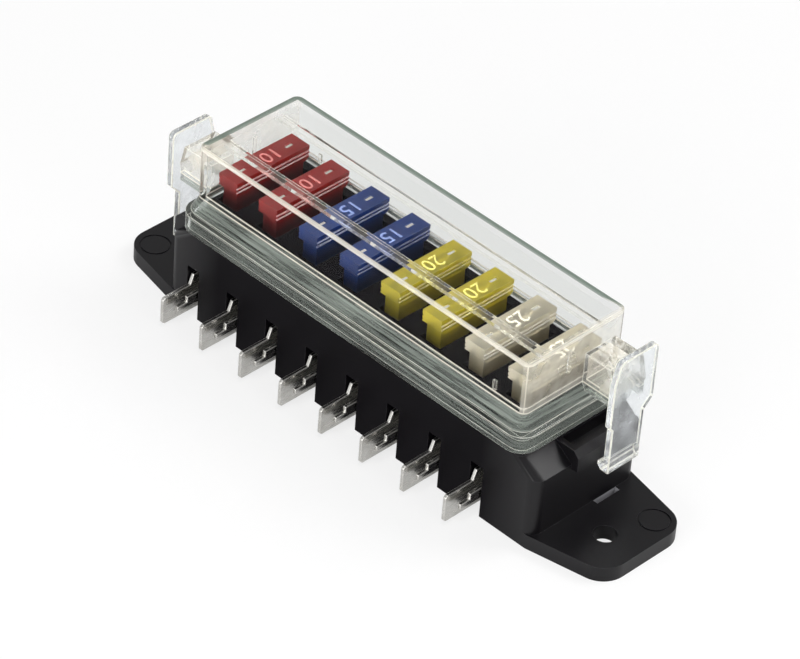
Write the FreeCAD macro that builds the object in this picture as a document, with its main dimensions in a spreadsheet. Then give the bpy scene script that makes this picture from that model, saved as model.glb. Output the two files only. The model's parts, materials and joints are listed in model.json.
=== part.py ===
"""Eight-way blade-fuse box: black base with ears, tab terminals, fuses, clear cover with two latches."""
import FreeCAD, Part
import math
import os
import re
import Sketcher

# Driving sizes in millimetres; every alias is one cell of the sheet
SIZES = {
    # ways
    "way_count": 8, "way_pitch": 11.2,
    # blade fuse
    "fuse_length": 19.1, "fuse_thick": 5.1, "fuse_head": 3.4, "fuse_height": 12.0,
    "fuse_waist_end": 0.75, "fuse_waist_side": 0.7, "head_rim": 1.0, "head_bevel": 0.7,
    "groove_width": 0.5, "groove_depth": 0.3, "groove_pitch": 0.9,
    "blade_width": 5.2, "blade_thick": 0.7, "blade_offset": 4.7, "blade_reach": 7.0,
    "blade_lead": 0.8, "blade_head": 1.5, "test_width": 1.9, "test_sink": 0.2,
    "link_width": 1.0, "link_rise": 4.0, "link_base": 2.2, "link_inset": 0.4,
    "metal_gap": 0.05,
    # base
    "pocket_clear": 0.15, "plinth_end_wall": 0.85, "plinth_side_wall": 1.95,
    "plinth_height": 3.9, "pocket_depth": 5.6, "plinth_corner": 0.4,
    "neck_step": 1.05, "neck_corner": 2.0, "neck_height": 4.0,
    "shoulder_run": 4.8, "shoulder_rise": 3.3, "wall_height": 16.3, "body_corner": 2.5,
    "ear_thick": 3.3, "ear_length": 16.2, "ear_root": 1.4, "ear_tip_half": 10.8,
    "ear_corner": 5.5, "hole_radius": 2.4, "hole_inset": 8.1, "hole_across": 2.8,
    "mark_radius": 3.3, "mark_width": 0.4, "mark_depth": 0.25, "mark_inset": 4.7,
    "mark_across": 7.2, "overshoot": 0.8,
    "catch_near": 5.0, "catch_margin": 1.2, "catch_low": 15.2, "catch_height": 4.5,
    "catch_reach": 1.5, "catch_lead": 1.3, "catch_well": 3.0, "well_wall": 1.3,
    "tool_slot_width": 1.2, "tool_slot_inset": 0.7, "tool_slot_length": 6.2,
    # terminals
    "strip": 0.8, "tab_height": 6.3, "tab_low": 1.1, "tab_length": 7.3, "tab_offset": 4.9,
    "tab_lead": 0.5, "tab_shoulder": 2.2, "tab_flare": 0.8, "leg_gap": 1.1, "leg_length": 5.1,
    "leg_low": 4.2, "leg_width": 2.5, "leg_notch": 1.3, "leg_notch_run": 2.5,
    "grip_cover": 1.7, "grip_length": 7.7, "leaf_margin": 0.35, "leaf_gap": 0.02,
    "web_drop": 2.7, "chamber_clear": 0.3, "slot_room": 2.1, "blade_slot_clear": 0.2,
    # cover
    "cover_gap": 0.3, "cover_wall": 1.4, "cover_roof": 1.6, "fuse_headroom": 4.05,
    "skirt_gap": 1.7, "skirt_rise": 1.5, "skirt_wall": 1.35, "skirt_clear": 0.15,
    "ledge_rise": 0.5, "riser_out": 1.5, "riser_height": 3.0,
    "seat_gap": 0.05, "seat_lip": 0.85, "seat_rise": 1.0,
    "cover_corner": 1.6, "cover_inner_corner": 0.6,
    "rib_width": 1.7, "rib_depth": 0.9, "rib_offset": 7.0,
    "nib_width": 0.8, "nib_depth": 0.4, "side_nib_inset": 8.75, "side_nib_lift": 0.4,
    "side_nib_height": 2.2, "end_nib_across": -0.5, "end_nib_lift": 3.1, "end_nib_height": 5.1,
    # latches and their brackets
    "arm_thick": 1.5, "arm_gap": 0.3, "arm_near": 1.8, "arm_width": 8.6,
    "hook_gap": 0.35, "hook_lead": 1.0, "hook_height": 2.8, "hook_play": 0.3,
    "handle_near_out": 0.7, "handle_far_out": 2.2, "handle_drop": 7.2, "handle_flare": 2.2,
    "thumb_reach": 7.8, "thumb_height": 5.1, "thumb_inset": 1.3, "thumb_corner": 1.2,
    "pivot_rise": 2.0, "nose_radius": 1.45, "nose_gap": 0.05, "nose_angle": 14.0,
    "nose_inset": 0.05, "bracket_inset": 0.7, "bracket_length": 8.2, "bracket_rib": 1.3,
    "bracket_drop": 1.7, "bracket_rise": 4.8, "bracket_web": 1.3,
}

doc = FreeCAD.newDocument("FuseBox")
sheet = doc.addObject("Spreadsheet::Sheet", "Sizes")
for row, (alias, number) in enumerate(SIZES.items(), start=1):
    sheet.set("A%d" % row, alias)
    sheet.set("B%d" % row, str(number))
    sheet.setAlias("B%d" % row, alias)
doc.recompute()

# Sizes that follow from others, as expressions on the sheet
DERIVED = {
    # lengths and widths
    "fuse_run": "(way_count - 1) * way_pitch",
    "plinth_half_x": "fuse_run / 2 + fuse_thick / 2 + pocket_clear + plinth_end_wall",
    "plinth_half_y": "fuse_length / 2 + pocket_clear + plinth_side_wall",
    "wall_x": "plinth_half_x + cover_gap + cover_wall",
    "wall_y": "plinth_half_y + cover_gap + cover_wall",
    "neck_x": "wall_x + neck_step",
    "neck_y": "wall_y + neck_step",
    "body_x": "neck_x + shoulder_run",
    "skirt_x": "neck_x + skirt_clear + skirt_wall",
    "ear_tip": "body_x + ear_length",
    "catch_x": "body_x + catch_reach",
    "catch_far": "arm_far + catch_margin",
    "arm_x": "catch_x + arm_gap",
    "arm_far": "arm_near + arm_width",
    "handle_near": "arm_near - handle_near_out",
    "handle_far": "arm_far + handle_far_out",
    "hook_tip_x": "body_x + hook_gap",
    "pivot_x": "arm_x - nose_radius - nose_gap",
    "bracket_near": "arm_near + bracket_inset",
    "bracket_far": "bracket_near + bracket_length",
    "blade_outer": "blade_offset + blade_width / 2",
    "blade_inner": "blade_offset - blade_width / 2",
    "link_half": "blade_inner - link_inset",
    "leaf_inner": "blade_thick / 2 + leaf_gap",
    "leaf_outer": "leaf_inner + strip",
    "grip_inner_y": "blade_inner - leaf_margin",
    "grip_outer_y": "blade_outer + leaf_margin",
    "web_y": "grip_outer_y + strip",
    "tab_reach": "neck_y + tab_length",
    "leg_near": "leg_gap + strip / 2",
    "leg_reach": "neck_y + leg_length",
    # heights, from the underside up
    "neck_foot": "wall_height + shoulder_rise",
    "deck_height": "neck_foot + neck_height",
    "plinth_top": "deck_height + plinth_height",
    "pocket_floor": "plinth_top - pocket_depth",
    "fuse_foot": "pocket_floor + metal_gap",
    "fuse_top": "fuse_foot + fuse_height",
    "catch_top": "catch_low + catch_height",
    "slot_top": "tab_low + tab_height + tab_shoulder + slot_room",
    "leg_top": "leg_low + leg_width",
    "grip_top": "pocket_floor - grip_cover",
    "grip_low": "grip_top - grip_length",
    "web_top": "grip_top - web_drop",
    "skirt_low": "neck_foot + skirt_gap",
    "skirt_top": "deck_height + skirt_rise",
    "riser_low": "skirt_top + ledge_rise",
    "cover_foot": "riser_low + riser_height",
    "cover_top": "fuse_top + fuse_headroom + rib_depth + cover_roof",
    "pivot_height": "cover_foot + pivot_rise",
    "bracket_low": "cover_foot - bracket_drop",
    "bracket_high": "pivot_height + bracket_rise",
    "handle_low": "pivot_height - handle_drop",
    "latch_top": "pivot_height + thumb_reach",
    "hook_top": "catch_low - hook_play",
    "hook_low": "hook_top - hook_height",
}
NEAR = 0.01     # how close an edge lies to the place where it is looked for


def as_sheet(text):
    """Give every alias in an expression its sheet, and every derived name its own expression."""
    word = re.compile(r"[a-z][a-z_]*[a-z]")

    def swap(found):
        name = found.group(0)
        if name in DERIVED:
            return "(" + as_sheet(DERIVED[name]) + ")"
        return "Sizes." + name if name in SIZES else name

    return word.sub(swap, text)


def value(text):
    """The number that an expression on the sheet comes to."""
    return float(sheet.evalExpression(as_sheet(text)))


def new_body(name):
    body = doc.addObject("PartDesign::Body", "Body_" + name)
    body.Label = name
    return body


def origin_part(body, role):
    return next(part for part in body.Origin.OriginFeatures if part.Role == role)


def new_sketch(body, name, plane, level="0"):
    """An empty sketch on a main plane, moved along the plane's normal by a level."""
    sketch = body.newObject("Sketcher::SketchObject", body.Label + "_" + name)
    sketch.AttachmentSupport = [(origin_part(body, plane), "")]
    sketch.MapMode = "FlatFace"
    sketch.setExpression("AttachmentOffset.Base.z", as_sheet(level))
    return sketch


def pin_down(sketch, geometry, end, across, up):
    """Hold one point of a sketch at two expressions, measured from the sketch's origin."""
    for kind, text in (("DistanceX", across), ("DistanceY", up)):
        index = sketch.addConstraint(Sketcher.Constraint(kind, -1, 1, geometry, end, value(text)))
        sketch.setExpression("Constraints[%d]" % index, as_sheet(text))


def outline(sketch, points):
    """A closed outline of straight lines through points given as pairs of expressions."""
    places = [FreeCAD.Vector(value(across), value(up), 0) for across, up in points]
    count = len(points)
    first = sketch.GeometryCount
    for index in range(count):
        sketch.addGeometry(Part.LineSegment(places[index], places[(index + 1) % count]), False)
    for index in range(count):
        after = (index + 1) % count
        sketch.addConstraint(Sketcher.Constraint("Coincident", first + index, 2, first + after, 1))
        pin_down(sketch, first + index, 1, *points[index])
    return sketch


def rectangle(sketch, left, right, low, high):
    return outline(sketch, [(left, low), (right, low), (right, high), (left, high)])


def centred(sketch, half_x, half_y):
    return rectangle(sketch, "-(%s)" % half_x, half_x, "-(%s)" % half_y, half_y)


def circle(sketch, across, up, radius):
    centre = FreeCAD.Vector(value(across), value(up), 0)
    ring = sketch.addGeometry(Part.Circle(centre, FreeCAD.Vector(0, 0, 1), value(radius)), False)
    pin_down(sketch, ring, 3, across, up)
    index = sketch.addConstraint(Sketcher.Constraint("Radius", ring, value(radius)))
    sketch.setExpression("Constraints[%d]" % index, as_sheet(radius))
    return sketch


def rounded(sketch, half_x, half_y, radius):
    """A centred rectangle whose corners are arcs, tangent to its sides."""
    long, wide, round_off = value(half_x), value(half_y), value(radius)
    corners = [(1, 1), (-1, 1), (-1, -1), (1, -1)]
    arcs = []
    for turn, (side_x, side_y) in enumerate(corners):
        centre = FreeCAD.Vector(side_x * (long - round_off), side_y * (wide - round_off), 0)
        ring = Part.Circle(centre, FreeCAD.Vector(0, 0, 1), round_off)
        arc = Part.ArcOfCircle(ring, turn * math.pi / 2, (turn + 1) * math.pi / 2)
        arcs.append(sketch.addGeometry(arc, False))
    lines = []
    for turn in range(4):
        start = sketch.getPoint(arcs[turn], 2)
        finish = sketch.getPoint(arcs[(turn + 1) % 4], 1)
        lines.append(sketch.addGeometry(Part.LineSegment(start, finish), False))
    for turn, (side_x, side_y) in enumerate(corners):
        after = (turn + 1) % 4
        sketch.addConstraint(Sketcher.Constraint("Tangent", arcs[turn], 2, lines[turn], 1))
        sketch.addConstraint(Sketcher.Constraint("Tangent", lines[turn], 2, arcs[after], 1))
        pin_down(sketch, arcs[turn], 3, "%d * (%s - (%s))" % (side_x, half_x, radius),
                 "%d * (%s - (%s))" % (side_y, half_y, radius))
    index = sketch.addConstraint(Sketcher.Constraint("Radius", arcs[0], round_off))
    sketch.setExpression("Constraints[%d]" % index, as_sheet(radius))
    for arc in arcs[1:]:
        sketch.addConstraint(Sketcher.Constraint("Equal", arcs[0], arc))
    return sketch


def pad(body, sketch, length, backwards=False, middle=False):
    feature = body.newObject("PartDesign::Pad", sketch.Name + "_pad")
    feature.Profile = sketch
    feature.setExpression("Length", as_sheet(length))
    feature.Reversed = backwards
    feature.Midplane = middle
    doc.recompute()
    return feature


def pocket(body, sketch, length, backwards=False, middle=False):
    feature = body.newObject("PartDesign::Pocket", sketch.Name + "_cut")
    feature.Profile = sketch
    feature.setExpression("Length", as_sheet(length))
    feature.Reversed = backwards
    feature.Midplane = middle
    before = feature.BaseFeature.Shape.Volume
    doc.recompute()
    if not feature.Shape.Volume < before:
        raise ValueError(feature.Label + " removes nothing")
    return feature


def loft(body, kind, name, sketches):
    feature = body.newObject("PartDesign::" + kind, body.Label + "_" + name)
    feature.Profile = sketches[0]
    feature.Sections = sketches[1:]
    feature.Ruled = True
    doc.recompute()
    return feature


def along_ways(body, name, features):
    """Repeat features at every way of the box."""
    pattern = body.newObject("PartDesign::LinearPattern", body.Label + "_" + name)
    pattern.Originals = features
    pattern.Direction = (origin_part(body, "X_Axis"), [""])
    pattern.setExpression("Length", as_sheet("fuse_run"))
    pattern.setExpression("Occurrences", as_sheet("way_count"))
    body.Tip = pattern
    doc.recompute()
    return pattern


def half_turn(body, name, features):
    """Repeat features once more, turned half way round the upright axis."""
    pattern = body.newObject("PartDesign::PolarPattern", body.Label + "_" + name)
    pattern.Originals = features
    pattern.Axis = (origin_part(body, "Z_Axis"), [""])
    pattern.Angle = 360
    pattern.Occurrences = 2
    body.Tip = pattern
    doc.recompute()
    return pattern


def edge_names(shape, test):
    return ["Edge%d" % (index + 1) for index, edge in enumerate(shape.Edges) if test(edge)]


def dress_edges(body, kind, name, size, test):
    """Fillet or chamfer the edges of the body's last feature that pass a test."""
    base = body.Tip
    feature = body.newObject("PartDesign::" + kind, body.Label + "_" + name)
    feature.Base = (base, edge_names(base.Shape, test))
    feature.setExpression("Radius" if kind == "Fillet" else "Size", as_sheet(size))
    doc.recompute()
    return feature


def is_upright(edge):
    direction = edge.valueAt(edge.LastParameter) - edge.valueAt(edge.FirstParameter)
    return abs(direction.z) > 0.99 * edge.Length and len(edge.Vertexes) == 2


def way_place(index):
    return "(%d - (way_count - 1) / 2) * way_pitch" % index


def add_shoulder_and_neck(body):
    """The block of the base: walls, sloped shoulders at both ends, neck, deck and plinth."""
    rounded(foot := new_sketch(body, "foot", "XY_Plane"), "body_x", "neck_y", "body_corner")
    pad(body, foot, "wall_height")
    low = new_sketch(body, "shoulder_low", "XY_Plane", "wall_height")
    rounded(low, "body_x", "neck_y", "body_corner")
    high = new_sketch(body, "shoulder_high", "XY_Plane", "neck_foot")
    rounded(high, "neck_x", "neck_y", "neck_corner")
    loft(body, "AdditiveLoft", "shoulder", [low, high])
    neck = new_sketch(body, "neck", "XY_Plane", "neck_foot")
    rounded(neck, "neck_x", "neck_y", "neck_corner")
    pad(body, neck, "neck_height")
    plinth = new_sketch(body, "plinth", "XY_Plane", "deck_height")
    rounded(plinth, "plinth_half_x", "plinth_half_y", "plinth_corner")
    pad(body, plinth, "plinth_height")


def add_ears(body):
    """The plate of the two ears, wide at the block and narrower at the rounded tips."""
    plate = new_sketch(body, "ears", "XY_Plane")
    root = "(body_x - ear_root)"
    outline(plate, [
        ("-ear_tip", "-ear_tip_half"), ("-" + root, "-neck_y"),
        (root, "-neck_y"), ("ear_tip", "-ear_tip_half"),
        ("ear_tip", "ear_tip_half"), (root, "neck_y"),
        ("-" + root, "neck_y"), ("-ear_tip", "ear_tip_half"),
    ])
    pad(body, plate, "ear_thick")
    reach = value("ear_tip") - NEAR
    dress_edges(body, "Fillet", "ear_corners", "ear_corner",
                lambda edge: is_upright(edge) and abs(edge.CenterOfMass.x) > reach)


def add_catches(body):
    """A catch at each end: a ledge that the latch hooks under, with a lead-in and a well behind it."""
    profile = new_sketch(body, "catch", "XZ_Plane", "catch_near")
    outline(profile, [
        ("neck_x - overshoot", "catch_low"), ("catch_x", "catch_low"),
        ("catch_x", "catch_top - catch_lead"), ("catch_x - catch_lead", "catch_top"),
        ("neck_x - overshoot", "catch_top"),
    ])
    block = pad(body, profile, "catch_near + catch_far", backwards=True)
    half_turn(body, "catches", [block])
    well = new_sketch(body, "well", "XY_Plane", "catch_top")
    rectangle(well, "neck_x + well_wall / 2", "catch_x - catch_lead - well_wall",
              "-catch_near + well_wall", "catch_far - well_wall")
    half_turn(body, "wells", [pocket(body, well, "catch_well")])


def cut_ear_features(body):
    """Mounting hole, shallow ring mark and the tooling slot below the catch, on both ears."""
    hole = new_sketch(body, "hole", "XY_Plane")
    circle(hole, "ear_tip - hole_inset", "-hole_across", "hole_radius")
    drilled = pocket(body, hole, "ear_thick", backwards=True)
    mark = new_sketch(body, "mark", "XY_Plane", "ear_thick")
    circle(mark, "ear_tip - mark_inset", "mark_across", "mark_radius")
    circle(mark, "ear_tip - mark_inset", "mark_across", "mark_radius - mark_width")
    ringed = pocket(body, mark, "mark_depth")
    slot = new_sketch(body, "tool_slot", "XY_Plane")
    rectangle(slot, "body_x", "body_x + tool_slot_width",
              "arm_near + tool_slot_inset", "arm_near + tool_slot_inset + tool_slot_length")
    slotted = pocket(body, slot, "ear_thick", backwards=True)
    half_turn(body, "ear_features", [drilled, ringed, slotted])


def cut_ways(body):
    """Eight fuse pockets above and, on each side, eight blade slots, terminal chambers and tab slots."""
    first = way_place(0)
    room = new_sketch(body, "fuse_pocket", "XY_Plane", "plinth_top")
    rectangle(room, first + " - fuse_thick / 2 - pocket_clear", first + " + fuse_thick / 2 + pocket_clear",
              "-fuse_length / 2 - pocket_clear", "fuse_length / 2 + pocket_clear")
    along_ways(body, "fuse_pockets", [pocket(body, room, "pocket_depth")])
    for side, sign, start in (("front", 1, first), ("rear", -1, first)):
        def box(name, level, left, right, near, far, depth, backwards):
            sketch = new_sketch(body, side + "_" + name, "XY_Plane", level)
            ends = ["%s + %d * (%s)" % (start, sign, left), "%s + %d * (%s)" % (start, sign, right)]
            sides = ["%d * (%s)" % (-sign, near), "%d * (%s)" % (-sign, far)]
            rectangle(sketch, ends[0], ends[1], sides[0], sides[1])
            return pocket(body, sketch, depth, backwards)

        blade = box("blade_slot", "pocket_floor", "-blade_thick / 2 - blade_slot_clear",
                    "blade_thick / 2 + blade_slot_clear",
                    "blade_inner - blade_slot_clear", "blade_outer + blade_slot_clear",
                    "pocket_floor - grip_top - chamber_clear / 2", False)
        grip = box("grip_room", "0", "-leaf_outer - chamber_clear", "leaf_outer + chamber_clear",
                   "grip_inner_y - chamber_clear", "web_y + chamber_clear",
                   "grip_top + chamber_clear", True)
        web = box("web_room", "0", "-tab_offset - strip / 2 - chamber_clear",
                  "leaf_outer + chamber_clear", "grip_outer_y - chamber_clear",
                  "web_y + chamber_clear", "web_top + chamber_clear", True)
        tab = box("tab_slot", "0", "-tab_offset - strip / 2 - chamber_clear",
                  "-tab_offset + leg_near + strip + chamber_clear",
                  "grip_outer_y - chamber_clear", "neck_y + overshoot", "slot_top", True)
        along_ways(body, side + "_ways", [blade, grip, web, tab])


def make_base():
    body = new_body("base_housing")
    add_ears(body)
    add_shoulder_and_neck(body)
    add_catches(body)
    cut_ear_features(body)
    cut_ways(body)
    return body


def add_cover_shell(body):
    """Outside of the cover: roof and walls, sloped riser, ledge and skirt; then the hollow inside."""
    def ring(name, level, out, radius):
        sketch = new_sketch(body, name, "XY_Plane", level)
        return rounded(sketch, "wall_x + " + out, "wall_y + " + out, radius)

    skirt_out = "(skirt_x - wall_x)"
    skirt = ring("skirt", "skirt_low", skirt_out, "cover_corner + " + skirt_out)
    pad(body, skirt, "skirt_top - skirt_low")
    ledge = [ring("ledge_low", "skirt_top", skirt_out, "cover_corner + " + skirt_out),
             ring("ledge_high", "riser_low", "riser_out", "cover_corner + riser_out")]
    loft(body, "AdditiveLoft", "ledge", ledge)
    riser = [ring("riser_base", "riser_low", "riser_out", "cover_corner + riser_out"),
             ring("riser_head", "cover_foot", "0", "cover_corner")]
    loft(body, "AdditiveLoft", "riser", riser)
    walls = ring("walls", "cover_foot", "0", "cover_corner")
    pad(body, walls, "cover_top - cover_foot")

    seat = "deck_height + seat_gap"
    skirt_in = "(neck_step + skirt_clear)"
    mouth = ring("mouth", "skirt_low", skirt_in, "neck_corner + skirt_clear")
    pocket(body, mouth, seat + " - skirt_low", backwards=True)
    lip = "(neck_step - seat_lip)"
    throat = ring("throat", seat, lip, "cover_inner_corner + " + lip)
    pocket(body, throat, "seat_rise", backwards=True)
    slope = [ring("slope_low", seat + " + seat_rise", lip, "cover_inner_corner + " + lip),
             ring("slope_high", "cover_foot - neck_step / 2", "-cover_wall", "cover_inner_corner")]
    loft(body, "SubtractiveLoft", "slope", slope)
    room = ring("room", "cover_foot - neck_step / 2", "-cover_wall", "cover_inner_corner")
    pocket(body, room, "cover_top - cover_roof - cover_foot + neck_step / 2", backwards=True)


def add_cover_ribs(body):
    """Two ribs under the roof, running the whole length."""
    ribs = new_sketch(body, "ribs", "XY_Plane", "cover_top - cover_roof")
    for side in ("-1", "1"):
        middle = side + " * rib_offset"
        rectangle(ribs, "-(wall_x - cover_wall / 2)", "wall_x - cover_wall / 2",
                  middle + " - rib_width / 2", middle + " + rib_width / 2")
    pad(body, ribs, "rib_depth", backwards=True)


def add_nibs(body):
    """A short upright nib on the inside of each long wall and of each end wall."""
    side = new_sketch(body, "side_nib", "XY_Plane", "cover_foot + side_nib_lift")
    middle = "wall_x - side_nib_inset"
    rectangle(side, middle + " - nib_width / 2", middle + " + nib_width / 2",
              "-(wall_y - cover_wall / 2)", "-(wall_y - cover_wall - nib_depth)")
    end = new_sketch(body, "end_nib", "XY_Plane", "cover_foot + end_nib_lift")
    rectangle(end, "wall_x - cover_wall - nib_depth", "wall_x - cover_wall / 2",
              "end_nib_across - nib_width / 2", "end_nib_across + nib_width / 2")
    half_turn(body, "nibs", [pad(body, side, "side_nib_height"), pad(body, end, "end_nib_height")])


def add_brackets(body):
    """At each end two side ribs and a web carry the round bar that the latch turns on."""
    nose = "(nose_radius - nose_inset)"
    tangent_x = "pivot_x + %s * cos(nose_angle * 1deg)" % nose
    tangent_z = "pivot_height + %s * sin(nose_angle * 1deg)" % nose
    top_x = tangent_x + " - (bracket_high - (" + tangent_z + ")) * tan(nose_angle * 1deg)"
    root = "wall_x - cover_wall / 2"
    pieces = []
    for name, near in (("near", "bracket_near"), ("far", "bracket_far - bracket_rib")):
        rib = new_sketch(body, "bracket_" + name, "XZ_Plane", "-(%s)" % near)
        outline(rib, [
            (root, "bracket_low"), ("pivot_x + nose_radius - arm_gap", "bracket_low"),
            ("pivot_x + nose_radius - arm_gap", "pivot_height"), (tangent_x, tangent_z),
            (top_x, "bracket_high"), (root, "bracket_high"),
        ])
        pieces.append(pad(body, rib, "bracket_rib", backwards=True))
    bar = new_sketch(body, "bracket_bar", "XZ_Plane", "-bracket_near")
    pieces.append(pad(body, circle(bar, "pivot_x", "pivot_height", "nose_radius"),
                      "bracket_far - bracket_near", backwards=True))
    web = new_sketch(body, "bracket_web", "XY_Plane", "bracket_high")
    rectangle(web, root, top_x, "bracket_near", "bracket_far")
    pieces.append(pad(body, web, "bracket_web", backwards=True))
    half_turn(body, "brackets", pieces)


def make_cover():
    body = new_body("cover")
    add_cover_shell(body)
    add_cover_ribs(body)
    add_nibs(body)
    add_brackets(body)
    return body


def make_latch(name, turned):
    """Latch: a flat plate, wide at the handle and narrow at the arm, with the hook at its foot."""
    body = new_body(name)
    plate = new_sketch(body, "plate", "YZ_Plane", "arm_x")
    outline(plate, [
        ("arm_near", "hook_low"), ("arm_far", "hook_low"), ("arm_far", "handle_low"),
        ("handle_far", "handle_low + handle_flare"), ("handle_far", "latch_top"),
        ("handle_near + thumb_inset", "latch_top"), ("handle_near", "latch_top - thumb_height"),
        ("handle_near", "handle_low"), ("arm_near", "handle_low - handle_near_out"),
    ])
    pad(body, plate, "arm_thick")
    hook = new_sketch(body, "hook", "XZ_Plane", "-arm_near")
    outline(hook, [
        ("hook_tip_x", "hook_top"), ("hook_tip_x", "hook_low + hook_lead"),
        ("hook_tip_x + hook_lead", "hook_low"), ("arm_x + arm_thick / 2", "hook_low"),
        ("arm_x + arm_thick / 2", "hook_top"),
    ])
    pad(body, hook, "arm_width", backwards=True)
    top = value("latch_top") - NEAR
    dress_edges(body, "Fillet", "thumb_corners", "thumb_corner",
                lambda edge: edge.CenterOfMass.z > top and edge.BoundBox.YLength < NEAR)
    body.Placement = FreeCAD.Placement(FreeCAD.Vector(), FreeCAD.Rotation(FreeCAD.Vector(0, 0, 1), turned))
    return body


def add_fuse_head(body):
    """Head of a fuse: two grip grooves along each side, and its foot sloped in at both ends."""
    half = "fuse_thick / 2"
    right = [(half, "fuse_top")]
    for turn in range(2):
        start = "fuse_top - head_rim - %d * groove_pitch" % turn
        right += [(half, start), (half + " - groove_depth", start + " - groove_width / 2"),
                  (half, start + " - groove_width")]
    right.append((half, "fuse_top - fuse_head"))
    left = [("-(%s)" % across, up) for across, up in reversed(right)]
    pad(body, outline(new_sketch(body, "head", "XZ_Plane"), right + left), "fuse_length", middle=True)
    under, end = value("fuse_top - fuse_head"), value("fuse_length / 2")
    dress_edges(body, "Chamfer", "head_ends", "head_bevel",
                lambda edge: abs(edge.CenterOfMass.z - under) < NEAR and
                abs(abs(edge.CenterOfMass.y) - end) < NEAR)


def make_fuse_body(index):
    """Plastic of one fuse: grooved head, narrower lower part and room for the metal."""
    body = new_body("fuse_%d_body" % (index + 1))
    lower = new_sketch(body, "lower", "XY_Plane", "fuse_foot")
    centred(lower, "fuse_thick / 2 - fuse_waist_side", "fuse_length / 2 - fuse_waist_end")
    pad(body, lower, "fuse_height - fuse_head / 2")
    add_fuse_head(body)
    for name, side in (("front", "-1"), ("rear", "1")):
        blade = new_sketch(body, name + "_blade_room", "XY_Plane", "fuse_foot")
        middle = side + " * blade_offset"
        rectangle(blade, "-blade_thick / 2 - metal_gap", "blade_thick / 2 + metal_gap",
                  middle + " - blade_width / 2 - metal_gap", middle + " + blade_width / 2 + metal_gap")
        pocket(body, blade, "fuse_height - blade_head + metal_gap", backwards=True)
        test = new_sketch(body, name + "_test_room", "XY_Plane", "fuse_top")
        middle = side + " * (blade_outer - test_width / 2)"
        rectangle(test, "-blade_thick / 2 - metal_gap", "blade_thick / 2 + metal_gap",
                  middle + " - test_width / 2 - metal_gap", middle + " + test_width / 2 + metal_gap")
        pocket(body, test, "blade_head")
    link = new_sketch(body, "link_room", "XY_Plane", "fuse_foot")
    centred(link, "blade_thick / 2 + metal_gap", "blade_inner")
    pocket(body, link, "link_base + link_rise + link_width + metal_gap * 2", backwards=True)
    body.setExpression("Placement.Base.x", as_sheet(way_place(index)))
    return body


def make_fuse_element(index):
    """Metal of one fuse, one stamping: two blades with test points and the arched link between."""
    body = new_body("fuse_%d_element" % (index + 1))
    sheet_metal = new_sketch(body, "stamping", "YZ_Plane")
    low = "fuse_foot - blade_reach"
    shoulder = "fuse_top - blade_head"
    tip = "fuse_top - test_sink"
    base = "fuse_foot + link_base"
    right = [
        ("blade_inner", base), ("blade_inner", low + " + blade_lead"), ("blade_inner + blade_lead", low),
        ("blade_outer - blade_lead", low), ("blade_outer", low + " + blade_lead"),
        ("blade_outer", tip), ("blade_outer - test_width", tip),
        ("blade_outer - test_width", shoulder), ("blade_inner", shoulder),
        ("blade_inner", base + " + link_width"), ("link_half", base + " + link_width"),
        ("link_half", base + " + link_rise + link_width"),
    ]
    mirror = [("-(%s)" % across, up) for across, up in reversed(right)]
    under = [("-(link_half - link_width)", base), ("-(link_half - link_width)", base + " + link_rise"),
             ("link_half - link_width", base + " + link_rise"), ("link_half - link_width", base)]
    outline(sheet_metal, right + mirror + under)
    pad(body, sheet_metal, "blade_thick", middle=True)
    body.setExpression("Placement.Base.x", as_sheet(way_place(index)))
    return body


def make_terminal(name, index, turned):
    """One bent strip: grip on the blade, web across the chamber, tab out through the wall, short leg."""
    body = new_body(name)
    grip = new_sketch(body, "grip", "XY_Plane", "grip_low")
    outline(grip, [
        ("-leaf_outer", "-grip_inner_y"), ("-leaf_outer", "-web_y"), ("leaf_outer", "-web_y"),
        ("leaf_outer", "-grip_inner_y"), ("leaf_inner", "-grip_inner_y"), ("leaf_inner", "-grip_outer_y"),
        ("-leaf_inner", "-grip_outer_y"), ("-leaf_inner", "-grip_inner_y"),
    ])
    pad(body, grip, "grip_top - grip_low")
    web = new_sketch(body, "web", "XZ_Plane", "grip_outer_y")
    left = "-tab_offset - strip / 2"
    outline(web, [
        (left, "tab_low"), ("-tab_offset + leg_near + strip", "tab_low"),
        ("-tab_offset + leg_near + strip", "grip_low"), ("leaf_outer", "grip_low"),
        ("leaf_outer", "web_top"), (left, "web_top"),
    ])
    pad(body, web, "strip")
    tab = new_sketch(body, "tab", "YZ_Plane", left)
    top = "tab_low + tab_height"
    outline(tab, [
        ("-web_y", "tab_low"), ("-tab_reach + tab_lead", "tab_low"),
        ("-tab_reach", "tab_low + tab_lead"), ("-tab_reach", top + " - tab_lead"),
        ("-tab_reach + tab_lead", top), ("-neck_y", top),
        ("-neck_y + tab_flare", top + " + tab_shoulder"), ("-web_y", top + " + tab_shoulder"),
    ])
    pad(body, tab, "strip")
    leg = new_sketch(body, "leg", "YZ_Plane", "-tab_offset + leg_near")
    notch = "-leg_reach + leg_notch_run"
    outline(leg, [
        ("-web_y", "leg_low"), ("-leg_reach", "leg_low"), ("-leg_reach", "leg_top - leg_notch"),
        (notch, "leg_top - leg_notch"), (notch, "leg_top"), ("-web_y", "leg_top"),
    ])
    pad(body, leg, "strip")
    body.Placement = FreeCAD.Placement(FreeCAD.Vector(), FreeCAD.Rotation(FreeCAD.Vector(0, 0, 1), turned))
    body.setExpression("Placement.Base.x", as_sheet(way_place(index)))
    return body


pieces = [make_base(), make_cover(), make_latch("latch_right", 0), make_latch("latch_left", 180)]
for way in range(SIZES["way_count"]):
    pieces.append(make_fuse_body(way))
    pieces.append(make_fuse_element(way))
    pieces.append(make_terminal("terminal_front_%d" % (way + 1), way, 0))
    pieces.append(make_terminal("terminal_rear_%d" % (way + 1), way, 180))
doc.recompute()

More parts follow.
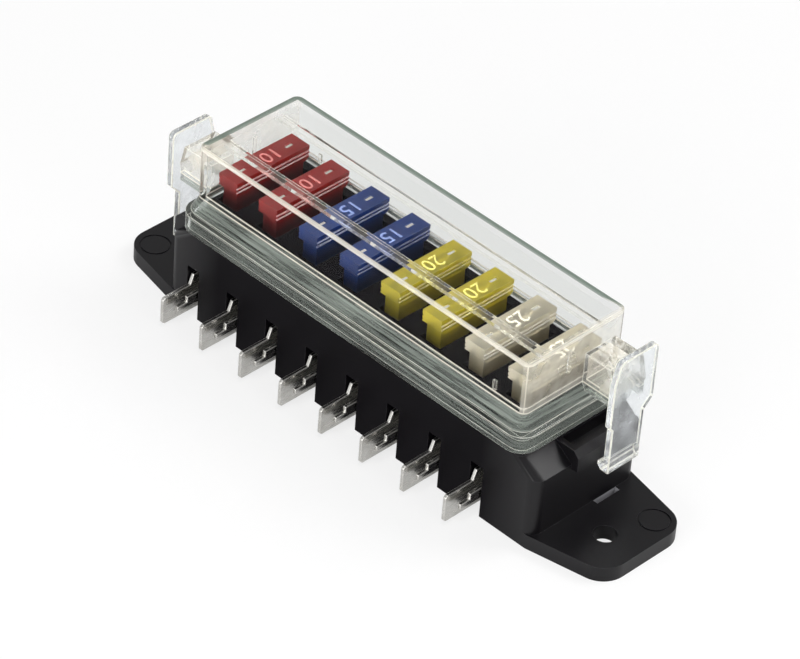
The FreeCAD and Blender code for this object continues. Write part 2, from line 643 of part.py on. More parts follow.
for thing in doc.Objects:
    if "Invalid" in thing.State or "Error" in thing.State:
        raise ValueError(thing.Label + " did not recompute")
for piece in pieces:
    if piece.Shape.isNull() or not piece.Shape.isValid() or len(piece.Shape.Solids) != 1:
        raise ValueError(piece.Label + " is not one valid solid")

os.makedirs("parts", exist_ok=True)
for piece in pieces:
    piece.Shape.exportStep("parts/" + piece.Label + ".step")
    box = piece.Shape.BoundBox
    print("%-18s volume %9.1f  x %.2f..%.2f  y %.2f..%.2f  z %.2f..%.2f" % (
        piece.Label, piece.Shape.Volume, box.XMin, box.XMax, box.YMin, box.YMax, box.ZMin, box.ZMax))
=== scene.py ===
import json
import math
import bmesh
import bpy
from mathutils import Matrix, Vector

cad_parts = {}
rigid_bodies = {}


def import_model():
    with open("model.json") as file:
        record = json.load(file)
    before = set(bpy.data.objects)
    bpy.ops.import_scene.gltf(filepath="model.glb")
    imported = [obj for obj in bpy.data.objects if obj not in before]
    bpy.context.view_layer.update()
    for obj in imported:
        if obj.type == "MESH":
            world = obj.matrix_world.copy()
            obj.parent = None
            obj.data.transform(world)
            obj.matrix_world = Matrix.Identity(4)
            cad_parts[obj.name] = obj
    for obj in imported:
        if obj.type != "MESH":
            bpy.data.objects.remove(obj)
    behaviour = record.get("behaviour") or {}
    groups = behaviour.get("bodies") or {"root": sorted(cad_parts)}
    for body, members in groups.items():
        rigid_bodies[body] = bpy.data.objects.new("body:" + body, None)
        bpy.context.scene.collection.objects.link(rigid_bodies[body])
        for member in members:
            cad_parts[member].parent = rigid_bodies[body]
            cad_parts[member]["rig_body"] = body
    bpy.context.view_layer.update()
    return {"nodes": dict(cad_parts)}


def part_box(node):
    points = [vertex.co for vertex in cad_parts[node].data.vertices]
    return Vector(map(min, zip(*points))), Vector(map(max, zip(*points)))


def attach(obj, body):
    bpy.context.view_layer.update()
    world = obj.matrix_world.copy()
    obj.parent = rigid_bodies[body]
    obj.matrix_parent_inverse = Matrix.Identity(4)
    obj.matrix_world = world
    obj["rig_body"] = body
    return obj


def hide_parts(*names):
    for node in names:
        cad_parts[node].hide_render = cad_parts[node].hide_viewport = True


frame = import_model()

nodes = frame["nodes"]
mm = 0.001
print("frame loaded:", len(nodes), "nodes")


# what every material is made with

def linearColour(hexText):
    # each sRGB channel c becomes c/12.92 below 0.04045 and ((c + 0.055)/1.055)^2.4 above
    channels = [int(hexText[i:i + 2], 16) / 255 for i in (1, 3, 5)]
    return tuple(c / 12.92 if c <= 0.04045 else ((c + 0.055) / 1.055) ** 2.4 for c in channels) + (1.0,)


def addNode(tree, kind, settings=None, **links):
    # one node: settings go to sockets, by name or number, or to properties; links join its sockets to other
    # nodes' outputs, where n0 is the first socket and Base_Color the one named Base Color
    node = tree.nodes.new("ShaderNode" + kind)
    for key, value in (settings or {}).items():
        if isinstance(key, int) or key in node.inputs:
            node.inputs[key].default_value = value
        else:
            setattr(node, key, value)
    for name, source in links.items():
        numbered = name[0] == "n" and name[1:].isdigit()
        tree.links.new(source, node.inputs[int(name[1:]) if numbered else name.replace("_", " ")])
    return node


def newMaterial(name):
    material = bpy.data.materials.new(name)
    material.use_nodes = True
    material.node_tree.nodes.clear()
    return material, material.node_tree


def closeClearMaterial(tree, shader, tint):
    # lamps shine through the piece along straight lines, tinted, while the eye sees it bend what is behind
    path = addNode(tree, "LightPath")
    film = addNode(tree, "BsdfTransparent", {"Color": linearColour(tint)})
    both = addNode(tree, "MixShader", n0=path.outputs["Is Shadow Ray"], n1=shader.outputs[0],
                   n2=film.outputs[0])
    addNode(tree, "OutputMaterial", Surface=both.outputs[0])


def beyond(tree, place, edge):
    # a mask over an edge, given as its start and run in mm: 0 before the start, 1 after the run
    start, run = edge
    return addNode(tree, "MapRange", {"From Min": start * mm, "From Max": (start + run) * mm},
                   Value=place).outputs[0]


def within(tree, place, edge):
    # the same mask turned round: 1 before the start, 0 after the run
    start, run = edge
    return addNode(tree, "MapRange", {"From Min": start * mm, "From Max": (start + run) * mm,
                                      "To Min": 1.0, "To Max": 0.0}, Value=place).outputs[0]


def joined(tree, operation, *masks):
    # several masks made one: MINIMUM where all hold, MAXIMUM where any holds, MULTIPLY where each thins the
    # others
    total = masks[0]
    for mask in masks[1:]:
        total = addNode(tree, "Math", {"operation": operation}, n0=total, n1=mask).outputs[0]
    return total


def greatestShare(tree, *shares):
    # the greatest of several masks, each times its own share
    scaled = [addNode(tree, "Math", {"operation": "MULTIPLY", 1: share}, n0=mask).outputs[0]
              for mask, share in shares]
    return joined(tree, "MAXIMUM", *scaled)


def distancesFromMiddle(tree, coords):
    # how far a point lies from the middle along X and across Y, and its height Z
    place = addNode(tree, "SeparateXYZ", Vector=coords)
    along, across = (addNode(tree, "Math", {"operation": "ABSOLUTE"}, n0=place.outputs[axis]).outputs[0]
                     for axis in ("X", "Y"))
    return along, across, place.outputs["Z"]


# base

nylonBlack = {
    # the slot tone is painted light inside the tooling slots, and the edge tone a painted highlight on
    # rounded edges
    "colour": "#050406", "lift": "#0d0b0f", "edge": "#3a3840", "slotPaintedLight": "#8c8c90", "ior": 1.5,
    "roughness": (0.33, 0.45), "middleShine": 0.04, "endShine": 0.29, "edgeShine": 0.6,
    # sizes in mm, and edges as start and run in mm from the middle of the box or from its foot
    "cloudSize": 14, "grainSize": 0.35, "grainDepth": 0.008, "grainStrength": 0.3, "ends": (36.0, 12.0),
    "slotInner": (50.2, 0.05), "slotOuter": (51.6, 0.05), "slotSides": (9.0, 0.1), "slotTop": (3.2, 0.05),
}


def makeNylonBlack(name, low, high, shine, endShine=None):
    # glass-filled nylon, injection moulded: near black, satin, with a faint orange-peel skin, glossier
    # towards the ends of the box; the tooling slots beside the ears are painted paler, painted light from the
    # floor below
    m, tree = newMaterial(name)
    coords = addNode(tree, "TexCoord").outputs["Object"]
    along, across, height = distancesFromMiddle(tree, coords)
    cloud = addNode(tree, "TexNoise", {"Scale": 1 / (nylonBlack["cloudSize"] * mm), "Detail": 3.0},
                    Vector=coords)
    tone = addNode(tree, "MixRGB", {1: linearColour(low), 2: linearColour(high)}, Fac=cloud.outputs["Fac"])
    # painted light: a paler tone inside the tooling slots
    litSlot = joined(tree, "MINIMUM",
                    beyond(tree, along, nylonBlack["slotInner"]),
                    within(tree, along, nylonBlack["slotOuter"]),
                    within(tree, across, nylonBlack["slotSides"]),
                    within(tree, height, nylonBlack["slotTop"]))
    slotLit = addNode(tree, "MixRGB", {2: linearColour(nylonBlack["slotPaintedLight"])}, Fac=litSlot,
                      n1=tone.outputs[0])
    skin = addNode(tree, "TexNoise", {"Scale": 1 / (nylonBlack["grainSize"] * mm), "Detail": 2.0},
                   Vector=coords)
    bump = addNode(tree, "Bump", {"Strength": nylonBlack["grainStrength"],
                                  "Distance": nylonBlack["grainDepth"] * mm}, Height=skin.outputs["Fac"])
    smooth, rough = nylonBlack["roughness"]
    satin = addNode(tree, "MapRange", {"To Min": smooth, "To Max": rough}, Value=cloud.outputs["Fac"])
    shader = addNode(tree, "BsdfPrincipled", {"IOR": nylonBlack["ior"], "Specular IOR Level": shine},
                     Base_Color=slotLit.outputs[0], Roughness=satin.outputs[0], Normal=bump.outputs[0])
    if endShine is not None:
        grown = addNode(tree, "MapRange", {"To Min": shine, "To Max": endShine},
                        Value=beyond(tree, along, nylonBlack["ends"]))
        tree.links.new(grown.outputs[0], shader.inputs["Specular IOR Level"])
    addNode(tree, "OutputMaterial", Surface=shader.outputs[0])
    return m


# cover and latches

clearCover = {
    "colour": "#f2f3f2", "gleam": "#b0b0b0", "lampTint": "#e9e6e8", "roughness": 0.03, "ior": 1.12,
    # the haze colour is painted light on the near side rim and the foot line, and plain haze elsewhere; the
    # skirt and far rim colours are painted shade
    "haze": "#f2eddf", "skirtPaintedShade": "#98a098", "farRimPaintedShade": "#7c887f",
    "hazeRoughness": 0.28, "hazeClearness": 0.3,
    "flowSize": 9, "flowDepth": 0.05, "flowStrength": 0.15,       # mm; the faint waves of the moulded skin
    # where each part of the cover begins and the run over which its haze grows, in mm from the middle of the
    # box or from its foot
    "ends": (43.1, 0.3), "rimX": (43.75, 0.2), "rimY": (12.65, 0.2), "rimZ": (39.65, 0.2),
    "farRimX": (43.1, 0.1), "farRimY": (12.0, 0.1), "farRimZ": (39.4, 0.2), "litSide": (-1.0, 0.8),
    "ribX": (42.8, 0.1), "ribY": (11.75, 0.1), "ribZ": (38.7, 0.1), "bracket": (44.6, 0.2),
    "foot": (28.4, 0.3), "footTop": (28.85, 0.2), "ledge": (25.2, 0.3),
    # how much haze each part has; it is painted light on the near side rim and the foot line, and painted
    # shade on the far rim, the skirt and the ledge
    "litRimPaintedLight": 0.72, "farRimShadeShare": 0.94, "footPaintedHighlight": 0.85, "ribHaze": 0.1,
    "endHaze": 0.36, "bracketHaze": 0.24, "skirtHaze": 0.18, "ledgeHaze": 0.34,
    # patches and lines: size in mm, the span of the noise that is used, and the factor that it becomes
    "patchSize": 4, "patchSpan": (0.32, 0.68), "patchFactor": (0.6, 1.2),
    "lineSize": 0.5, "lineStretch": 0.03, "lineSpan": (0.38, 0.66), "lineFactor": (0.1, 2.2),
}


def hazeFactor(tree, place, kind):
    # noise as wide as the kind's size, with the used span stretched to the kind's factor
    noise = addNode(tree, "TexNoise", {"Scale": 1 / (clearCover[kind + "Size"] * mm), "Detail": 2.0},
                    Vector=place)
    (low, high), (least, most) = clearCover[kind + "Span"], clearCover[kind + "Factor"]
    return addNode(tree, "MapRange", {"From Min": low, "From Max": high, "To Min": least, "To Max": most},
                   Value=noise.outputs["Fac"]).outputs[0]


def hazeWithPaintedLight(tree, coords, litSide, shadedSide):
    # how cloudy the cover is at each place, with painted light and painted shade in it. Corner posts and top
    # rim are painted evenly pale, as lit, on the near side, and the top rim has painted shade on the far
    # side. The line where the walls meet their foot is a pale painted highlight, and the ribs are faintly
    # pale. End walls and brackets have faint patches, and skirt and ledge fine lines round the box
    along, across, height = distancesFromMiddle(tree, coords)
    rimX, rimY, rimZ = (beyond(tree, place, clearCover[name])
                        for place, name in ((along, "rimX"), (across, "rimY"), (height, "rimZ")))
    posts = joined(tree, "MINIMUM", rimX, rimY)
    topRims = joined(tree, "MINIMUM", joined(tree, "MAXIMUM", rimX, rimY), rimZ)
    clearOfBracket = within(tree, along, clearCover["bracket"])
    aboveFoot = beyond(tree, height, clearCover["foot"])
    belowFoot = within(tree, height, clearCover["foot"])
    litRims = joined(tree, "MULTIPLY", joined(tree, "MAXIMUM", posts, topRims), clearOfBracket, aboveFoot,
                  litSide)
    overWall = joined(tree, "MAXIMUM", beyond(tree, along, clearCover["farRimX"]),
                      beyond(tree, across, clearCover["farRimY"]))
    wallTop = joined(tree, "MINIMUM", overWall, beyond(tree, height, clearCover["farRimZ"]))
    paintedShadeRims = joined(tree, "MULTIPLY", wallTop, clearOfBracket, shadedSide)
    ribs = joined(tree, "MINIMUM", within(tree, along, clearCover["ribX"]),
                  within(tree, across, clearCover["ribY"]), within(tree, height, clearCover["ribZ"]))
    foot = joined(tree, "MINIMUM", aboveFoot, within(tree, height, clearCover["footTop"]))
    evenHazeLightAndShade = greatestShare(tree, (litRims, clearCover["litRimPaintedLight"]), (paintedShadeRims, clearCover["farRimShadeShare"]),
                         (ribs, clearCover["ribHaze"]), (foot, clearCover["footPaintedHighlight"]))
    endWalls = joined(tree, "MULTIPLY", beyond(tree, along, clearCover["ends"]), clearOfBracket, aboveFoot)
    brackets = beyond(tree, along, clearCover["bracket"])
    patchy = greatestShare(tree, (endWalls, clearCover["endHaze"]), (brackets, clearCover["bracketHaze"]))
    ledge = joined(tree, "MINIMUM", belowFoot, beyond(tree, height, clearCover["ledge"]))
    lined = greatestShare(tree, (belowFoot, clearCover["skirtHaze"]), (ledge, clearCover["ledgeHaze"]))
    stretch = clearCover["lineStretch"]
    drawnOut = addNode(tree, "Mapping", {"Scale": (stretch, stretch, 1.0)}, Vector=coords).outputs[0]
    haze = joined(tree, "MAXIMUM", evenHazeLightAndShade, joined(tree, "MULTIPLY", patchy, hazeFactor(tree, coords, "patch")),
                  joined(tree, "MULTIPLY", lined, hazeFactor(tree, drawnOut, "line")))
    return haze, paintedShadeRims, belowFoot


def makePolycarbonateClear():
    # clear polycarbonate, moulded and glossy; where walls meet, its haze is painted light, pale at the front
    # and right, and painted shade, grey green, at the back and left and on the skirt
    m, tree = newMaterial("polycarbonate_clear_painted_light")
    coords = addNode(tree, "TexCoord").outputs["Object"]
    flow = addNode(tree, "TexNoise", {"Scale": 1 / (clearCover["flowSize"] * mm), "Detail": 1.0},
                   Vector=coords)
    bump = addNode(tree, "Bump", {"Strength": clearCover["flowStrength"],
                                  "Distance": clearCover["flowDepth"] * mm}, Height=flow.outputs["Fac"])
    # X, shrunk to the box's width, less Y is over 0 at the front and right of the box, and under 0 at the
    # back and left; it parts the side with painted light from the side with painted shade
    place = addNode(tree, "SeparateXYZ", Vector=coords)
    narrowness = clearCover["rimY"][0] / clearCover["rimX"][0]
    shrunk = addNode(tree, "Math", {"operation": "MULTIPLY", 1: narrowness}, n0=place.outputs["X"])
    towardsFront = addNode(tree, "Math", {"operation": "SUBTRACT"}, n0=shrunk.outputs[0],
                           n1=place.outputs["Y"]).outputs[0]
    litSide = beyond(tree, towardsFront, clearCover["litSide"])
    shadedSide = within(tree, towardsFront, clearCover["litSide"])
    haze, paintedShadeRims, belowFoot = hazeWithPaintedLight(tree, coords, litSide, shadedSide)
    # painted light in pale cream above the foot, painted shade in grey green on the skirt and on the far rim
    paintedLitOrSkirtShade = addNode(tree, "MixRGB", {1: linearColour(clearCover["haze"]),
                                           2: linearColour(clearCover["skirtPaintedShade"])}, Fac=belowFoot)
    tone = addNode(tree, "MixRGB", {2: linearColour(clearCover["farRimPaintedShade"])}, Fac=paintedShadeRims,
                   n1=paintedLitOrSkirtShade.outputs[0])
    clear = addNode(tree, "BsdfPrincipled", {
        "Base Color": linearColour(clearCover["colour"]), "Roughness": clearCover["roughness"],
        "IOR": clearCover["ior"], "Specular Tint": linearColour(clearCover["gleam"]),
        "Transmission Weight": 1.0}, Normal=bump.outputs[0])
    cloudy = addNode(tree, "BsdfPrincipled", {
        "Roughness": clearCover["hazeRoughness"], "IOR": clearCover["ior"],
        "Transmission Weight": clearCover["hazeClearness"]}, Base_Color=tone.outputs[0])
    both = addNode(tree, "MixShader", n0=haze, n1=clear.outputs[0], n2=cloudy.outputs[0])
    closeClearMaterial(tree, both, clearCover["lampTint"])
    return m


clearLatch = {
    "colour": "#f1f4f6", "roughness": 0.05, "ior": 1.3,
    "haze": "#e4e8ea", "hazeRoughness": 0.3, "hazeClearness": 0.3,
    "cloudSize": 4, "cloudDepth": 0.06, "cloudStrength": 0.3,       # mm
    "hazeSpan": (0.35, 0.65), "hazeShare": (0.06, 0.3),             # the span of the noise, and its haze
}


def makeLatchPlastic():
    # the latches are the same polycarbonate, thicker: clear and cool, with faint clouds, and bending light
    # more sharply
    m, tree = newMaterial("polycarbonate_latch_clear")
    coords = addNode(tree, "TexCoord").outputs["Object"]
    cloud = addNode(tree, "TexNoise", {"Scale": 1 / (clearLatch["cloudSize"] * mm), "Detail": 2.0},
                    Vector=coords)
    bump = addNode(tree, "Bump", {"Strength": clearLatch["cloudStrength"],
                                  "Distance": clearLatch["cloudDepth"] * mm}, Height=cloud.outputs["Fac"])
    (low, high), (least, most) = clearLatch["hazeSpan"], clearLatch["hazeShare"]
    haze = addNode(tree, "MapRange", {"From Min": low, "From Max": high, "To Min": least, "To Max": most},
                   Value=cloud.outputs["Fac"])
    clear = addNode(tree, "BsdfPrincipled", {
        "Base Color": linearColour(clearLatch["colour"]), "Roughness": clearLatch["roughness"],
        "IOR": clearLatch["ior"], "Transmission Weight": 1.0}, Normal=bump.outputs[0])
    cloudy = addNode(tree, "BsdfPrincipled", {
        "Base Color": linearColour(clearLatch["haze"]), "Roughness": clearLatch["hazeRoughness"],
        "Transmission Weight": clearLatch["hazeClearness"]})
    both = addNode(tree, "MixShader", n0=haze.outputs[0], n1=clear.outputs[0], n2=cloudy.outputs[0])
    closeClearMaterial(tree, both, clearCover["lampTint"])
    return m


clearEdge = {"colour": "#eeede2", "roughness": (0.13, 0.43), "clearness": 0.24, "streakSize": 5}      # mm


def makePolycarbonateEdge():
    # the same polycarbonate along its rounded edges, where light gathers: pale cream and less clear
    m, tree = newMaterial("polycarbonate_rounded_edge")
    coords = addNode(tree, "TexCoord").outputs["Object"]
    streak = addNode(tree, "TexNoise", {"Scale": 1 / (clearEdge["streakSize"] * mm), "Detail": 2.0},
                     Vector=coords)
    smooth, rough = clearEdge["roughness"]
    worn = addNode(tree, "MapRange", {"To Min": smooth, "To Max": rough}, Value=streak.outputs["Fac"])
    shader = addNode(tree, "BsdfPrincipled", {
        "Base Color": linearColour(clearEdge["colour"]), "IOR": clearCover["ior"],
        "Transmission Weight": clearEdge["clearness"]}, Roughness=worn.outputs[0])
    closeClearMaterial(tree, shader, clearCover["lampTint"])
    return m


# fuses

fusePlastic = {
    "row": ("red", "red", "blue", "blue", "yellow", "yellow", "clear", "clear"),
    # each colour's low tone is painted shade, which the foot of the fuse takes
    "red": {"rating": "10", "colour": "#9c0f0c", "low": "#420508", "clearness": 0.6,
            "lampTint": "#e08880", "numeral": "#e0908a"},
    "blue": {"rating": "15", "colour": "#0b347e", "low": "#04163c", "clearness": 0.6,
             "lampTint": "#8898d8", "numeral": "#9db2e6"},
    "yellow": {"rating": "20", "colour": "#e4d638", "low": "#8f8320", "clearness": 0.76,
               "lampTint": "#f0e8a0", "numeral": "#f0e88c"},
    "clear": {"rating": "25", "colour": "#f8f2da", "low": "#a59c80", "clearness": 0.82,
              "lampTint": "#f0eee8", "numeral": "#efe9d6"},
    "roughness": 0.28, "ior": 1.5, "cloudSize": 3, "cloudDepth": 0.05, "cloudStrength": 0.2,      # mm
    "foot": (28.0, 4.6),        # mm; where the painted shade of the foot begins to fade, and over what run
}
fuseColours = ("red", "blue", "yellow", "clear")


def makeFusePlastic(name):
    # tinted polycarbonate, moulded: the metal shows dimly inside, and towards the foot, where the fuses stand
    # in each other's shade, the colour is deepened with painted shade
    tint = fusePlastic[name]
    m, tree = newMaterial("polycarbonate_tinted_shaded_foot_" + name)
    coords = addNode(tree, "TexCoord").outputs["Object"]
    cloud = addNode(tree, "TexNoise", {"Scale": 1 / (fusePlastic["cloudSize"] * mm), "Detail": 2.0},
                    Vector=coords)
    bump = addNode(tree, "Bump", {"Strength": fusePlastic["cloudStrength"],
                                  "Distance": fusePlastic["cloudDepth"] * mm}, Height=cloud.outputs["Fac"])
    height = addNode(tree, "SeparateXYZ", Vector=coords).outputs["Z"]
    tone = addNode(tree, "MixRGB", {1: linearColour(tint["low"]), 2: linearColour(tint["colour"])},
                   Fac=beyond(tree, height, fusePlastic["foot"]))
    shader = addNode(tree, "BsdfPrincipled", {
        "Roughness": fusePlastic["roughness"], "IOR": fusePlastic["ior"],
        "Transmission Weight": tint["clearness"]}, Base_Color=tone.outputs[0], Normal=bump.outputs[0])
    closeClearMaterial(tree, shader, tint["lampTint"])
    return m


numerals = {
    "height": 3.3, "relief": 0.12, "shift": 1.2, "gritSize": 0.4,       # mm; they stand near the top's middle
    "figureShare": 0.7,         # how much of the font's size a figure fills
    "curveSteps": 3, "gritMix": (0.15, 0.55), "roughness": 0.5, "clearness": 0.1,
}


def makeNumeralPlastic(name):
    # the same plastic in the raised figures, left rough by the mould: paler and duller than the rest
    m, tree = newMaterial("polycarbonate_figures_" + name)
    coords = addNode(tree, "TexCoord").outputs["Object"]
    grit = addNode(tree, "TexNoise", {"Scale": 1 / (numerals["gritSize"] * mm), "Detail": 2.0}, Vector=coords)
    least, most = numerals["gritMix"]
    mottle = addNode(tree, "MapRange", {"To Min": least, "To Max": most}, Value=grit.outputs["Fac"])
    tone = addNode(tree, "MixRGB", {1: linearColour(fusePlastic[name]["numeral"]),
                                    2: linearColour(fusePlastic[name]["colour"])}, Fac=mottle.outputs[0])
    shader = addNode(tree, "BsdfPrincipled", {
        "Roughness": numerals["roughness"], "Transmission Weight": numerals["clearness"]},
        Base_Color=tone.outputs[0])
    addNode(tree, "OutputMaterial", Surface=shader.outputs[0])
    return m


fuseZinc = {"colour": "#f0efea", "dull": "#d2d0c8", "roughness": (0.36, 0.52), "blotchSize": 1.5}      # mm


def makeFuseZinc():
    # zinc alloy strip, stamped: grey metal with a soft shine
    m, tree = newMaterial("zinc_strip_stamped")
    coords = addNode(tree, "TexCoord").outputs["Object"]
    blotch = addNode(tree, "TexNoise", {"Scale": 1 / (fuseZinc["blotchSize"] * mm), "Detail": 3.0},
                     Vector=coords)
    tone = addNode(tree, "MixRGB", {1: linearColour(fuseZinc["dull"]), 2: linearColour(fuseZinc["colour"])},
                   Fac=blotch.outputs["Fac"])
    smooth, rough = fuseZinc["roughness"]
    soft = addNode(tree, "MapRange", {"To Min": smooth, "To Max": rough}, Value=blotch.outputs["Fac"])
    shader = addNode(tree, "BsdfPrincipled", {"Metallic": 1.0}, Base_Color=tone.outputs[0],
                     Roughness=soft.outputs[0])
    addNode(tree, "OutputMaterial", Surface=shader.outputs[0])
    return m


# terminals

tinnedStrip = {
    "colour": "#e6e5e2", "dull": "#bcbab4", "roughness": (0.16, 0.36), "edgeRoughness": (0.42, 0.62),
    "lineSize": 0.48, "lineDepth": 0.01, "blotchSize": 2.5,         # mm
    "lineStretch": 0.06, "lineStrength": 0.25,
}


def makeTinnedBrass(name, roughness):
    # brass strip, stamped and tin plated: bright, with fine rolling lines along the tab
    m, tree = newMaterial(name)
    coords = addNode(tree, "TexCoord").outputs["Object"]
    drawnOut = addNode(tree, "Mapping", {"Scale": (1.0, tinnedStrip["lineStretch"], 1.0)}, Vector=coords)
    lines = addNode(tree, "TexNoise", {"Scale": 1 / (tinnedStrip["lineSize"] * mm), "Detail": 4.0},
                    Vector=drawnOut.outputs[0])
    blotch = addNode(tree, "TexNoise", {"Scale": 1 / (tinnedStrip["blotchSize"] * mm), "Detail": 2.0},
                     Vector=coords)
    tone = addNode(tree, "MixRGB", {1: linearColour(tinnedStrip["dull"]),
                                    2: linearColour(tinnedStrip["colour"])}, Fac=blotch.outputs["Fac"])
    smooth, rough = roughness
    rolled = addNode(tree, "MapRange", {"To Min": smooth, "To Max": rough}, Value=lines.outputs["Fac"])
    bump = addNode(tree, "Bump", {"Strength": tinnedStrip["lineStrength"],
                                  "Distance": tinnedStrip["lineDepth"] * mm}, Height=lines.outputs["Fac"])
    shader = addNode(tree, "BsdfPrincipled", {"Metallic": 1.0}, Base_Color=tone.outputs[0],
                     Roughness=rolled.outputs[0], Normal=bump.outputs[0])
    addNode(tree, "OutputMaterial", Surface=shader.outputs[0])
    return m


blackNylon = makeNylonBlack("nylon_black_painted_slot_light", nylonBlack["colour"], nylonBlack["lift"],
                            nylonBlack["middleShine"], nylonBlack["endShine"])
# rounded edges come out of the mould smoother and shine more; their lighter colour is a painted highlight,
# thin lighter lines
nylonEdgeHighlight = makeNylonBlack("nylon_edge_painted_highlight", nylonBlack["lift"], nylonBlack["edge"],
                           nylonBlack["edgeShine"])
clearPlastic = makePolycarbonateClear()
edgePlastic = makePolycarbonateEdge()
latchClear = makeLatchPlastic()
tintedPlastic = {name: makeFusePlastic(name) for name in fuseColours}
numeralPlastic = {name: makeNumeralPlastic(name) for name in fuseColours}
tinnedBrass = makeTinnedBrass("brass_strip_tinned", tinnedStrip["roughness"])
# the stamped edges are rounder and duller, and catch light from all round
tinnedEdge = makeTinnedBrass("brass_strip_edge", tinnedStrip["edgeRoughness"])
stampedZinc = makeFuseZinc()
print("materials made")


# pieces that stand for a CAD node with softened edges

softening = {
    "mergeWithin": 0.002,                       # mm
    "flatWithin": 0.5, "sharpOver": 35,         # degrees between neighbouring faces
    "flatWeight": 100,                          # of 100; how far large faces decide the shading at edges
    # how wide, in mm, and in how many steps each piece's edges are rounded
    "cover": {"width": 0.3, "segments": 3}, "latch": {"width": 0.25, "segments": 3},
    "base": {"width": 0.42, "segments": 3}, "fuse": {"width": 0.09, "segments": 2},
    "terminal": {"width": 0.16, "segments": 2},
}


def softenedCopy(nodeName, pieceName, material, kind, edgeMaterial=None):
    # the node's triangles, merged, with flat neighbours joined and every sharp edge rounded as its kind of
    # piece is; the rounded strips may have a material of their own
    mesh = nodes[nodeName].data.copy()
    mesh.name = pieceName
    b = bmesh.new()
    b.from_mesh(mesh)
    bmesh.ops.remove_doubles(b, verts=b.verts, dist=softening["mergeWithin"] * mm)
    flat = math.radians(softening["flatWithin"])
    bmesh.ops.dissolve_limit(b, angle_limit=flat, verts=b.verts, edges=b.edges)
    b.to_mesh(mesh)
    b.free()
    mesh.materials.clear()
    mesh.materials.append(material)
    if edgeMaterial:
        mesh.materials.append(edgeMaterial)
    piece = bpy.data.objects.new(pieceName, mesh)
    bpy.context.scene.collection.objects.link(piece)
    mesh.shade_smooth()
    bevel = piece.modifiers.new("softened edges", "BEVEL")
    bevel.width = softening[kind]["width"] * mm
    bevel.segments = softening[kind]["segments"]
    bevel.limit_method = "ANGLE"
    bevel.angle_limit = math.radians(softening["sharpOver"])
    bevel.use_clamp_overlap = True
    bevel.material = 1 if edgeMaterial else -1
    flats = piece.modifiers.new("flat faces stay flat", "WEIGHTED_NORMAL")
    flats.weight = softening["flatWeight"]
    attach(piece, nodes[nodeName]["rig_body"])
    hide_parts(nodeName)


softenedCopy("cover", "clear_cover", clearPlastic, "cover", edgePlastic)
softenedCopy("latch_left", "clear_latch_left", latchClear, "latch", edgePlastic)
softenedCopy("latch_right", "clear_latch_right", latchClear, "latch", edgePlastic)
softenedCopy("base_housing", "black_base", blackNylon, "base", nylonEdgeHighlight)
print("cover, latches and base made")


def makeNumeral(text, pieceName, fuseNode, material):
    # plain figures with their tops towards +X, read towards -Y, as thick as their relief
    curve = bpy.data.curves.new(pieceName, "FONT")
    curve.body = text
    curve.size = numerals["height"] * mm / numerals["figureShare"]
    curve.extrude = numerals["relief"] / 2 * mm
    curve.align_x = curve.align_y = "CENTER"
    curve.resolution_u = numerals["curveSteps"]
    source = bpy.data.objects.new(pieceName + "_curve", curve)
    mesh = bpy.data.meshes.new_from_object(source)
    bpy.data.objects.remove(source)
    low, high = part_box(fuseNode)
    centre = Vector(((low[0] + high[0]) / 2, numerals["shift"] * mm, high[2] + numerals["relief"] / 2 * mm))
    mesh.transform(Matrix.Translation(centre) @ Matrix(((0, 1, 0), (-1, 0, 0), (0, 0, 1))).to_4x4())
    mesh.materials.clear()
    mesh.materials.append(material)
    piece = bpy.data.objects.new(pieceName, mesh)
    bpy.context.scene.collection.objects.link(piece)
    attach(piece, nodes[fuseNode]["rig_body"])


for place, tint in enumerate(fusePlastic["row"], start=1):
    fuseNode, fuseSlot, rating = "fuse_%d_body" % place, "fuse_" + tint, fusePlastic[tint]["rating"]
    softenedCopy(fuseNode, "fuse_plastic_%d" % place, tintedPlastic[tint], "fuse")
    metal = nodes["fuse_%d_element" % place].data
    metal.materials.clear()
    metal.materials.append(stampedZinc)
    makeNumeral(rating, "rating_figures_%d" % place, fuseNode, numeralPlastic[tint])
    for side in ("front", "rear"):
        softenedCopy("terminal_%s_%d" % (side, place), "tinned_strip_%s_%d" % (side, place), tinnedBrass,
                     "terminal", tinnedEdge)
print("fuses and terminals made")


# floor, light and camera

studio = {
    "floorHalf": 3.0, "floorDrop": 0.00002, "paper": "#f2f2f2", "paleShare": 0.72,      # metres
    "worldLight": 0.46, "mirrorShare": 0.15, "aim": (0, 0, 0.02),
    # each soft box's place and size in metres, and its power in watts
    "lamps": {
        "front_box": {"place": (0.1, -0.8, 0.28), "size": (0.6, 0.3), "power": 4.5},
        "back_box": {"place": (0.38, 0.57, 0.69), "size": (0.45, 0.35), "power": 4.0},
        "sky_box": {"place": (0.2, -0.24, 0.85), "size": (0.25, 0.25), "power": 1.6},
        "end_box": {"place": (0.8, -0.1, 0.3), "size": (0.3, 0.3), "power": 0.8},
    },
}


def whiteForEye(tree):
    # 1 for rays from the eye and through clear pieces, less for reflections, 0 for light that falls on things
    path = addNode(tree, "LightPath")
    mirrored = addNode(tree, "Math", {"operation": "MULTIPLY", 1: studio["mirrorShare"]},
                       n0=path.outputs["Is Glossy Ray"])
    return joined(tree, "MAXIMUM", path.outputs["Is Camera Ray"], path.outputs["Is Transmission Ray"],
                  mirrored.outputs[0])


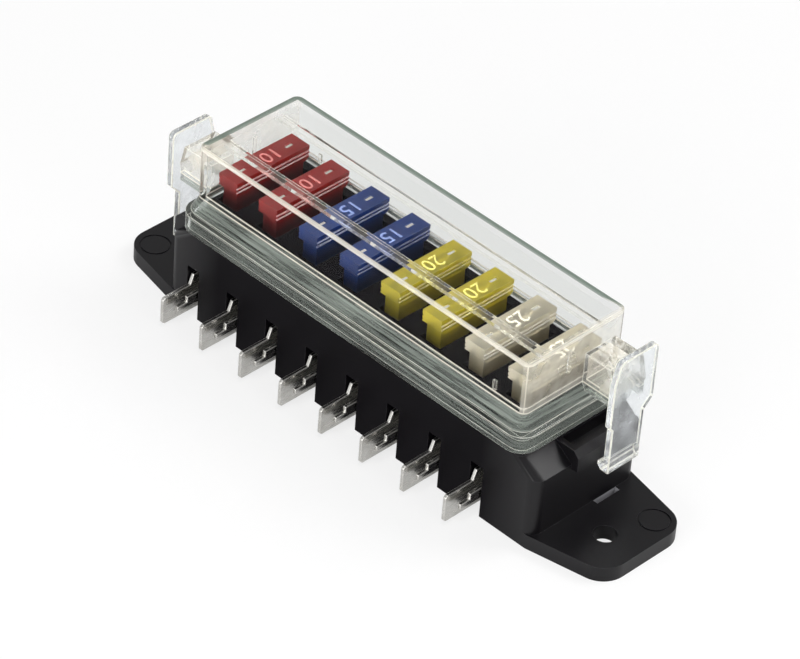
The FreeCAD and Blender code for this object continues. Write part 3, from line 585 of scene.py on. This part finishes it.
def makeFloor():
    half = studio["floorHalf"]
    mesh = bpy.data.meshes.new("studio_floor")
    corners = [(-half, -half, 0), (half, -half, 0), (half, half, 0), (-half, half, 0)]
    mesh.from_pydata(corners, [], [(0, 1, 2, 3)])
    floor = bpy.data.objects.new("studio_floor", mesh)
    floor.location.z = -studio["floorDrop"]
    bpy.context.scene.collection.objects.link(floor)
    # white paper, matt, which glows for the eye alone
    m, tree = newMaterial("paper_white")
    paper = addNode(tree, "BsdfDiffuse", {"Color": linearColour(studio["paper"])})
    glow = addNode(tree, "Emission", {"Color": (1, 1, 1, 1), "Strength": 1.0})
    share = addNode(tree, "Math", {"operation": "MULTIPLY", 1: studio["paleShare"]}, n0=whiteForEye(tree))
    both = addNode(tree, "MixShader", n0=share.outputs[0], n1=paper.outputs[0], n2=glow.outputs[0])
    addNode(tree, "OutputMaterial", Surface=both.outputs[0])
    mesh.materials.append(m)


def makeWorld():
    world = bpy.data.worlds.new("pale_room")
    bpy.context.scene.world = world
    world.use_nodes = True
    tree = world.node_tree
    tree.nodes.clear()
    dim = addNode(tree, "Background", {"Color": (1, 1, 1, 1), "Strength": studio["worldLight"]})
    white = addNode(tree, "Background", {"Color": (1, 1, 1, 1), "Strength": 1.0})
    both = addNode(tree, "MixShader", n0=whiteForEye(tree), n1=dim.outputs[0], n2=white.outputs[0])
    addNode(tree, "OutputWorld", Surface=both.outputs[0])


def makeSoftBox(name, place, size, power):
    data = bpy.data.lights.new(name, "AREA")
    data.shape = "RECTANGLE"
    data.size, data.size_y = size
    data.energy = power
    lamp = bpy.data.objects.new(name, data)
    lamp.location = place
    lamp.rotation_euler = (Vector(studio["aim"]) - Vector(place)).to_track_quat("-Z", "Y").to_euler()
    bpy.context.scene.collection.objects.link(lamp)


makeFloor()
makeWorld()
for name, lamp in studio["lamps"].items():
    makeSoftBox(name, **lamp)

# the camera stands where the photograph's edges and tabs say: turned and raised about the object, then rolled
camera = {
    "turn": 42.346, "rise": 38.258, "roll": 4.638,      # degrees
    "distance": 0.870178, "across": 0.000867, "up": 0.011982, "clip": (0.05, 20),       # metres
    "focalPixels": 4458.84, "photoPixels": 800, "sensor": 36,       # pixels, pixels and mm across the picture
}


def makeCamera():
    turn, rise, roll = (math.radians(camera[angle]) for angle in ("turn", "rise", "roll"))
    back = Vector((math.sin(turn) * math.cos(rise), -math.cos(turn) * math.cos(rise), math.sin(rise)))
    right = Vector((math.cos(turn), math.sin(turn), 0))
    upright = back.cross(right)
    rightRolled = right * math.cos(roll) + upright * math.sin(roll)
    upRolled = upright * math.cos(roll) - right * math.sin(roll)
    data = bpy.data.cameras.new("photo_camera")
    data.sensor_width = camera["sensor"]
    data.lens = camera["focalPixels"] / camera["photoPixels"] * camera["sensor"]
    data.clip_start, data.clip_end = camera["clip"]
    eye = bpy.data.objects.new("photo_camera", data)
    place = back * camera["distance"] + rightRolled * camera["across"] + upRolled * camera["up"]
    turned = Matrix((rightRolled, upRolled, back)).transposed().to_4x4()
    eye.matrix_world = Matrix.Translation(place) @ turned
    bpy.context.scene.collection.objects.link(eye)
    bpy.context.scene.camera = eye


makeCamera()
bpy.context.scene.view_settings.view_transform = "Standard"
print("studio made")
